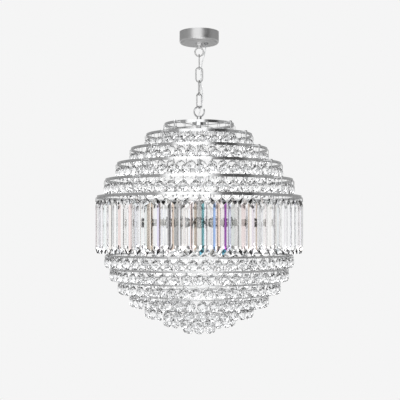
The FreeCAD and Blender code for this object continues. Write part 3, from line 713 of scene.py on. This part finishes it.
class CHANDELIER_OT_beads(Operator):
    """The rows of octagon beads under the other rings"""
    bl_idname = "chandelier.beads"
    bl_label = "Beads"

    def execute(self, context):
        """Make each row in the place of its solids."""
        settings = context.scene.chandelier_crystal
        random = np.random.default_rng(BEAD_SEED)
        glass = crystal_glass("bead_glass", False)
        for part, number in bands(UPPER_COUNT - 1):
            node = "%s_beads_%d" % (part, number)
            low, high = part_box(node)
            radius = ring_radius("%s_ring_%d" % (part, number))
            form = bead_form(settings, high.z - low.z)
            piece = hang("%s_bead_row_%d" % (part, number), form, radius, (low.z + high.z) / 2,
                         bead_count(settings, radius), settings.bead_twist, random)
            piece.data.materials.append(glass)
            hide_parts(node)
        return {"FINISHED"}


class CHANDELIER_OT_hooks(Operator):
    """The bent wire link that each crystal hangs from"""
    bl_idname = "chandelier.hooks"
    bl_label = "Hooks"

    def execute(self, context):
        """Make one ring of hooks for each band, all in one piece."""
        settings = context.scene.chandelier_crystal
        rows = [self.row(settings, part, number) for part, number in bands(UPPER_COUNT)]
        vertices, faces = joined(rows)
        piece = make_mesh("wire_hooks", vertices, faces, smooth=True, body="orb")
        piece.data.materials.append(chrome_plate("hook_wire_plate", rough=(0.15, 0.3), darkest=0.8))
        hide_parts("crystal_hooks")
        return {"FINISHED"}

    def row(self, settings, part, number):
        """The hooks of one band, round the holes of the band and the crystals.

        Each follows the rounded oblong (w cos^p t, h sin^p t), where the powers keep their signs.
        """
        ring = "%s_ring_%d" % (part, number)
        is_prism = (part, number) == ("upper", UPPER_COUNT)
        band_low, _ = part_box(ring)
        _, crystals_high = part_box("prisms" if is_prism else "%s_beads_%d" % (part, number))
        radius = ring_radius(ring)
        count = settings.prism_count if is_prism else bead_count(settings, radius)
        top, bottom = band_low.z + BAND_HOLE_RISE, crystals_high.z - CRYSTAL_HOLE_DEPTH
        half_width, half_height, power = 3.3 * MM, (top - bottom) / 2, 0.55
        steps, sides = 14, 5
        turn = np.linspace(0, 2 * math.pi, steps, endpoint=False)
        across = half_width * np.sign(np.cos(turn)) * np.abs(np.cos(turn)) ** power
        along = half_height * np.sign(np.sin(turn)) * np.abs(np.sin(turn)) ** power
        path = np.stack([across, np.zeros(steps), along], -1)
        ahead = np.roll(path, -1, 0) - np.roll(path, 1, 0)
        ahead /= np.linalg.norm(ahead, axis=1, keepdims=True)
        side = np.tile([0.0, 1.0, 0.0], (steps, 1))
        form = circles_along(path, side, np.cross(ahead, side), settings.hook_wire / 2, sides)
        quads = ring_faces(steps, sides, close_rows=True, flip=True)
        angle, moves = places_round(radius, (top + bottom) / 2, count)
        return repeated(form, quads, turns_about_z(angle), moves)


# --------------------------------------------------------------- metal and cable
class CHANDELIER_OT_frame(Operator):
    """Plating on the rings, spider, struts, nuts, stem and loop"""
    bl_idname = "chandelier.frame"
    bl_label = "Frame"

    def execute(self, context):
        """Dress the carried-over metal nodes."""
        band = chrome_plate("band_plate")
        for part, number in bands(UPPER_COUNT):
            dress("%s_ring_%d" % (part, number), band)
        rod = chrome_plate("rod_plate", brushing=(40.0, 40.0, 1.0), rough=(0.08, 0.22))
        for node in ("ring_struts", "centre_stem"):
            dress(node, rod)
        turned = chrome_plate("turned_plate", brushing=(1.0, 1.0, 25.0), rough=(0.05, 0.16))
        for node in ("top_spider", "top_loop", "lamp_hub"):
            dress(node, turned)
        dress("strut_cap_nuts", chrome_plate("nut_plate", brushing=(20.0, 20.0, 20.0), rough=(0.15, 0.3),
                                             colour=(0.95, 0.95, 0.95)))
        return {"FINISHED"}


class CHANDELIER_OT_chain(Operator):
    """Plating on the chain"""
    bl_idname = "chandelier.chain"
    bl_label = "Chain"

    def execute(self, context):
        """Dress the links."""
        link = chrome_plate("link_plate", brushing=(1.0, 1.0, 1.0), rough=(0.3, 0.42), darkest=0.95,
                            colour=(0.97, 0.97, 0.97))
        for i in range(LINK_COUNT):
            dress("chain_link_%d" % (i + 1), link)
        return {"FINISHED"}


# The flex's route in millimetres from the orb's middle, from the rose down: the points its solid follows.
ORB_DROP = 397.45 * MM
FLEX_ROUTE = ((14.0, -4.0, 388.0), (14.0, -4.0, 365.0), (9.6, -5.2, 347.0), (4.8, -4.6, 330.0),
              (3.4, -3.7, 312.0), (3.1, -3.6, 295.0), (6.0, -3.5, 279.0), (7.2, -4.0, 262.0),
              (5.0, -4.9, 249.0), (1.9, -4.4, 239.0), (0.2, -3.2, 231.0), (0.0, -2.8, 223.0),
              (0.0, -1.0, 212.0))


class CHANDELIER_OT_flex(Operator):
    """The clear flex woven through the chain"""
    bl_idname = "chandelier.flex"
    bl_label = "Flex"

    def execute(self, context):
        """Make five lengths that meet at the middle of each link."""
        centre = self.centreline()
        heights = [0.0]
        for i in range(LINK_COUNT):
            low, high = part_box("chain_link_%d" % (i + 1))
            heights.append((low.z + high.z) / 2)
        heights.append(centre[-1, 2])
        sheath = plain_finish("flex_sheath", (0.92, 0.93, 0.94), rough=0.16, IOR=1.2,
                              Transmission_Weight=0.85)
        radius, sides, reach = 1.1 * MM, 12, 6.0 * MM
        for i in range(LINK_COUNT + 1):
            path = self.between(centre, heights[i], heights[i + 1])
            piece = make_mesh("flex_run_%d" % (i + 1), *tube_along(path, radius, sides), smooth=True)
            piece.data.materials.append(sheath)
            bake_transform(piece)
            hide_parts("flex_length_%d" % (i + 1))
        return {"FINISHED"}

    def centreline(self):
        """The points of a NURBS spline of order 3 that has the route's points as its control points."""
        curve = bpy.data.curves.new("flex_line", "CURVE")
        curve.dimensions = "3D"
        spline = curve.splines.new("NURBS")
        spline.points.add(len(FLEX_ROUTE) - 1)
        for point, (x, y, z) in zip(spline.points, FLEX_ROUTE):
            point.co = (x * MM, y * MM, z * MM - ORB_DROP, 1.0)
        spline.order_u = 3
        spline.use_endpoint_u = True
        spline.resolution_u = 10
        holder = bpy.data.objects.new("flex_line", curve)
        bpy.context.scene.collection.objects.link(holder)
        bpy.context.view_layer.update()
        mesh = bpy.data.meshes.new_from_object(holder)
        line = np.zeros(len(mesh.vertices) * 3)
        mesh.vertices.foreach_get("co", line)
        bpy.data.objects.remove(holder)
        bpy.data.meshes.remove(mesh)
        return line.reshape(-1, 3)

    def between(self, line, top, bottom):
        """The stretch of a falling line between two heights, with its ends exactly there."""
        least_step = 0.2 * MM
        fall = -line[:, 2]
        heights = np.clip([top, bottom], line[-1, 2], line[0, 2])
        inside = line[(line[:, 2] < heights[0] - least_step) & (line[:, 2] > heights[1] + least_step)]
        ends = np.stack([[np.interp(-h, fall, line[:, i]) for i in range(3)] for h in heights])
        return np.concatenate([ends[:1], inside, ends[1:]])


class CHANDELIER_OT_ceiling_fitting(Operator):
    """Finishes of the ceiling rose and what is in it"""
    bl_idname = "chandelier.ceiling_fitting"
    bl_label = "Ceiling fitting"

    def execute(self, context):
        """Dress the carried-over nodes of the rose."""
        spun = chrome_plate("spun_plate", brushing=(1.0, 1.0, 12.0), rough=(0.3, 0.42), darkest=0.95,
                            colour=(0.96, 0.96, 0.96))
        for node in ("rose_cup", "rose_eye_bolt", "rose_nuts"):
            dress(node, spun)
        dress("rose_bracket", plain_finish("zinc_plating", (0.62, 0.63, 0.64), rough=0.38, metallic=1.0))
        dress("rose_flex_bush", plain_finish("bush_plastic", (0.84, 0.85, 0.86), rough=0.3,
                                             Transmission_Weight=0.4))
        dress("terminal_block", plain_finish("block_plastic", (0.86, 0.86, 0.83), rough=0.45))
        dress("terminal_screws", plain_finish("screw_brass", (0.78, 0.62, 0.34), rough=0.28, metallic=1.0))
        return {"FINISHED"}


# ------------------------------------------------------------------------- lamps
# Sizes of the lamp cluster in millimetres. Starts, shoulders, faces and ends count from the orb's axis.
HOLDER_START, HOLDER_SHOULDER, HOLDER_FACE = 47.0, 60.5, 67.5
HOLDER_RADIUS, GROOVE_RADIUS, NOSE_RADIUS = 9.0, 8.4, 7.7
ARM_RADIUS = 2.5
COLLAR_START, COLLAR_END, COLLAR_OUTER, COLLAR_INNER = 60.5, 66.5, 12.2, 7.85
PIN_LENGTH, PIN_OFFSET, PIN_RADIUS = 10.0, 4.5, 0.7
HOLDER_SIDES, COLLAR_SIDES = 32, 40


class CHANDELIER_OT_lamps(Operator):
    """Frosted capsule lamps in nickel holders with bright collars"""
    bl_idname = "chandelier.lamps"
    bl_label = "Lamps"

    def execute(self, context):
        """Make the bulbs, holders and collars in the place of their solids."""
        finish = context.scene.chandelier_finish
        low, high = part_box("bulb_1")
        self.level = (low.z + high.z) / 2
        frosted = plain_finish("frosted_glass", tuple(finish.frosted), rough=0.35, grain=600.0, IOR=1.5,
                               Transmission_Weight=0.25, Emission_Color=(1.0, 0.98, 0.95),
                               Emission_Strength=0.12)
        pin = plain_finish("pin_metal", (0.6, 0.6, 0.6), rough=0.25, metallic=1.0)
        for i in range(LAMP_COUNT):
            bulb = self.bulb(i, high.x, (high.z - low.z) / 2, low.x)
            bulb.data.materials.append(frosted)
            bulb.data.materials.append(pin)
            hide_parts("bulb_%d" % (i + 1))
        # Holders and arms get painted reflections: painted dark bands and a painted highlight line.
        self.holders(self.nickel_with_painted_reflection("holder_nickel_painted_reflection", tuple(finish.nickel), HOLDER_RADIUS * MM))
        dress("lamp_arms", self.nickel_with_painted_reflection("arm_nickel_painted_reflection", tuple(finish.nickel), ARM_RADIUS * MM))
        self.collars(chrome_plate("collar_plate", brushing=(30.0, 1.0, 1.0), rough=(0.06, 0.18)))
        dress("lamp_leads", plain_finish("lead_sleeve", (0.82, 0.82, 0.8), rough=0.5))
        return {"FINISHED"}

    def nickel_with_painted_reflection(self, name, colour, radius):
        """Nickel with painted reflections: painted dark bands and a painted highlight line just above the
        middle, its colour a ramp of the height.
        """
        nodes = Nodes(name)
        nodes.set(Metallic=1.0)
        split = nodes.add("ShaderNodeSeparateXYZ")
        nodes.link(nodes.place, split.inputs[0])
        height = nodes.ranged(split.outputs["Z"], 0.0, 1.0, self.level - radius, self.level + radius)
        # Painted reflection by height alone: dark bands, lighter ends and a bright painted highlight line
        # above the middle.
        painted_dark_reflection, painted_highlight = shaded(colour, 0.14), shaded(colour, 1.5)
        stops = ((0.0, shaded(colour, 0.3)), (0.1, painted_dark_reflection), (0.52, painted_dark_reflection), (0.56, painted_highlight), (0.68, painted_highlight),
                 (0.72, painted_dark_reflection), (0.9, painted_dark_reflection), (1.0, shaded(colour, 0.5)))
        nodes.link(nodes.ramp(height, *stops), nodes.shader.inputs["Base Color"])
        fine = nodes.noise(300.0, 2.0)
        nodes.uneven_gloss(fine, smoothest=0.10, roughest=0.18)
        nodes.bump(fine, distance=0.03 * MM, strength=0.3)
        return nodes.material

    def bulb(self, number, tip, radius, pin_end):
        """A capsule: a foot a little narrower than its straight wall, a round dome, and two pins."""
        base = pin_end + PIN_LENGTH * MM
        profile = [(base, 0.2 * radius), (base, 0.86 * radius), (base + 1.2 * MM, 0.93 * radius),
                   (base + 7.0 * MM, 0.94 * radius), (base + 8.5 * MM, radius)]
        profile += [(tip - radius + radius * math.sin(a), max(radius * math.cos(a), 0.02 * MM))
                    for a in np.linspace(0, math.pi / 2, 9)]
        glass = lathe(profile, sides=28)
        pin, pin_faces = lathe([(pin_end, 0.3 * MM), (pin_end + 0.4 * MM, PIN_RADIUS * MM),
                                (base + 0.5 * MM, PIN_RADIUS * MM)], sides=8)
        pins = [(pin + np.array([0.0, side * PIN_OFFSET * MM, 0.0]), pin_faces) for side in (-1, 1)]
        form, faces = joined([glass] + pins)
        turn = turns_about_z(np.array([2 * math.pi * number / LAMP_COUNT]))[0]
        place = form @ turn.T + np.array([0.0, 0.0, self.level])
        piece = make_mesh("capsule_lamp_%d" % (number + 1), place, faces, smooth=True,
                          body="lamp_%d" % (number + 1))
        slots = [0 if i < len(glass[1]) else 1 for i in range(len(faces))]
        piece.data.polygons.foreach_set("material_index", slots)
        return piece

    def around(self, name, profile, sides, material, node, slot, closed=False):
        """One turned form at each lamp, as one piece, from a profile in millimetres."""
        form, faces = lathe(np.array(profile) * MM, sides, closed)
        angle, moves = places_round(0.0, self.level, LAMP_COUNT)
        piece = make_mesh(name, *repeated(form, faces, turns_about_z(angle), moves), body="orb")
        smooth_by_angle(piece)
        piece.data.materials.append(material)
        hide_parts(node)
        return piece

    def holders(self, material):
        """Turned bodies with two grooves, a chamfered back and a nose through the collar."""
        start, shoulder, face = HOLDER_START, HOLDER_SHOULDER, HOLDER_FACE
        wall, groove, nose = HOLDER_RADIUS, GROOVE_RADIUS, NOSE_RADIUS
        profile = [(start, 2.6), (start, 7.6), (start + 1.2, wall), (start + 3.6, wall),
                   (start + 4.0, groove), (start + 4.9, groove), (start + 5.3, wall), (start + 9.2, wall),
                   (start + 9.6, groove), (start + 10.5, groove), (start + 10.9, wall),
                   (shoulder - 0.3, wall), (shoulder, wall - 0.4), (shoulder, nose), (face - 0.4, nose),
                   (face, nose - 0.5), (face, 0.3)]
        self.around("holder_bodies", profile, HOLDER_SIDES, material, "lamp_holders", "nickel")

    def collars(self, material):
        """Turned rings round the noses, with a rolled front edge."""
        start, end, outer, inner = COLLAR_START, COLLAR_END, COLLAR_OUTER, COLLAR_INNER
        profile = [(start, inner), (start, outer - 1.6), (start + 0.5, outer - 1.0),
                   (start + 1.6, outer - 0.8), (end - 2.6, outer - 0.8), (end - 2.2, outer),
                   (end - 0.4, outer), (end, outer - 0.5), (end, inner)]
        piece = self.around("holder_collars", profile, COLLAR_SIDES, material, "holder_rings", "chrome",
                            closed=True)
        face_outwards(piece)


def smooth_by_angle(piece, limit=math.radians(35)):
    """Smooth shading with an edge kept sharp wherever its faces meet at more than the limit."""
    piece.data.polygons.foreach_set("use_smooth", [True] * len(piece.data.polygons))
    piece.data.set_sharp_from_angle(angle=limit)


# -------------------------------------------------------------------- the add-on
class CHANDELIER_PT_panel(Panel):
    """Lists the chandelier's pieces"""
    bl_label = "Chandelier"
    bl_idname = "CHANDELIER_PT_panel"
    bl_space_type = "VIEW_3D"
    bl_region_type = "UI"
    bl_category = "Chandelier"

    def draw(self, context):
        """Draw the settings and the buttons."""
        column = self.layout.column()
        for group in (context.scene.chandelier_crystal, context.scene.chandelier_finish):
            for name in group.__annotations__:
                column.prop(group, name)
        for operator in OPERATORS:
            column.operator(operator.bl_idname)


OPERATORS = (CHANDELIER_OT_stage, CHANDELIER_OT_prisms, CHANDELIER_OT_beads, CHANDELIER_OT_hooks,
             CHANDELIER_OT_frame, CHANDELIER_OT_chain, CHANDELIER_OT_flex, CHANDELIER_OT_ceiling_fitting,
             CHANDELIER_OT_lamps)
CLASSES = (CrystalSettings, FinishSettings, *OPERATORS, CHANDELIER_PT_panel)


def register():
    """Add the classes and the settings."""
    for item in CLASSES:
        bpy.utils.register_class(item)
    bpy.types.Scene.chandelier_crystal = PointerProperty(type=CrystalSettings)
    bpy.types.Scene.chandelier_finish = PointerProperty(type=FinishSettings)


def unregister():
    """Take them away again."""
    del bpy.types.Scene.chandelier_finish
    del bpy.types.Scene.chandelier_crystal
    for item in reversed(CLASSES):
        bpy.utils.unregister_class(item)


def main():
    """Make every piece in order."""
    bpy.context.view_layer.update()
    register()
    bpy.ops.chandelier.stage()
    bpy.ops.chandelier.prisms()
    bpy.ops.chandelier.beads()
    bpy.ops.chandelier.hooks()
    bpy.ops.chandelier.frame()
    bpy.ops.chandelier.chain()
    bpy.ops.chandelier.flex()
    bpy.ops.chandelier.ceiling_fitting()
    bpy.ops.chandelier.lamps()


if __name__ == "__main__":
    main()
